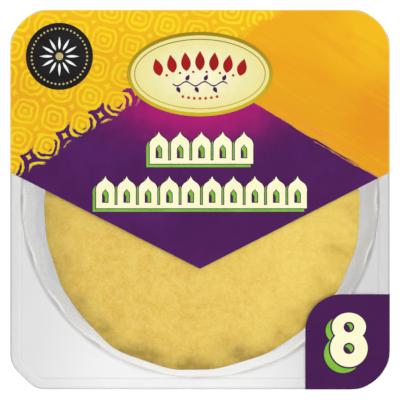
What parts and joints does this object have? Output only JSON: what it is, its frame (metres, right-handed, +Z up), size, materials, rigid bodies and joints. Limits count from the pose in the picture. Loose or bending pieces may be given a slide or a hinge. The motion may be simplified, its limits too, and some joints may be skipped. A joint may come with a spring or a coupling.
{
  "type": "sealed tray of papadums",
  "caption": "Square clear thermoformed tray with a round fluted well that holds a stack of thin crisp papadums under a clear sealed film with printed fields of colour.",
  "frame": {"origin": "on the surface the pack rests on, under the middle of its square outline", "axes": "+Z up through the film, +Y towards the printed edge of the lid, +X to the print's right"},
  "size_m": [0.18, 0.18, 0.0387],
  "materials": {
    "tray_plastic": "thin clear thermoformed sheet, glossy",
    "papadum": "dry crisp pulse flour, matt, with fine blisters",
    "clear_film": "clear glossy sealing film",
    "gold_print": "printed film",
    "purple_print": "printed film",
    "green_print": "printed film",
    "cream_print": "printed film",
    "badge_print": "printed film",
    "yellow_print": "printed film",
    "charcoal_print": "printed film"
  },
  "bodies": {
    "root": {"tray": "tray_plastic", "papadum_1": "papadum", "papadum_2": "papadum", "papadum_3": "papadum", "papadum_4": "papadum", "papadum_5": "papadum", "papadum_6": "papadum", "papadum_7": "papadum", "papadum_8": "papadum", "lid_film": "clear_film", "print_ground": "gold_print", "print_field": "purple_print", "print_upper_arches_shadow": "green_print", "print_upper_arches": "cream_print", "print_lower_arches_shadow": "green_print", "print_lower_arches": "cream_print", "print_badge_rim": "yellow_print", "print_badge": "badge_print", "print_roundel": "charcoal_print", "print_patch": "purple_print", "print_numeral_shadow": "green_print", "print_numeral": "cream_print"}
  },
  "joints": []
}
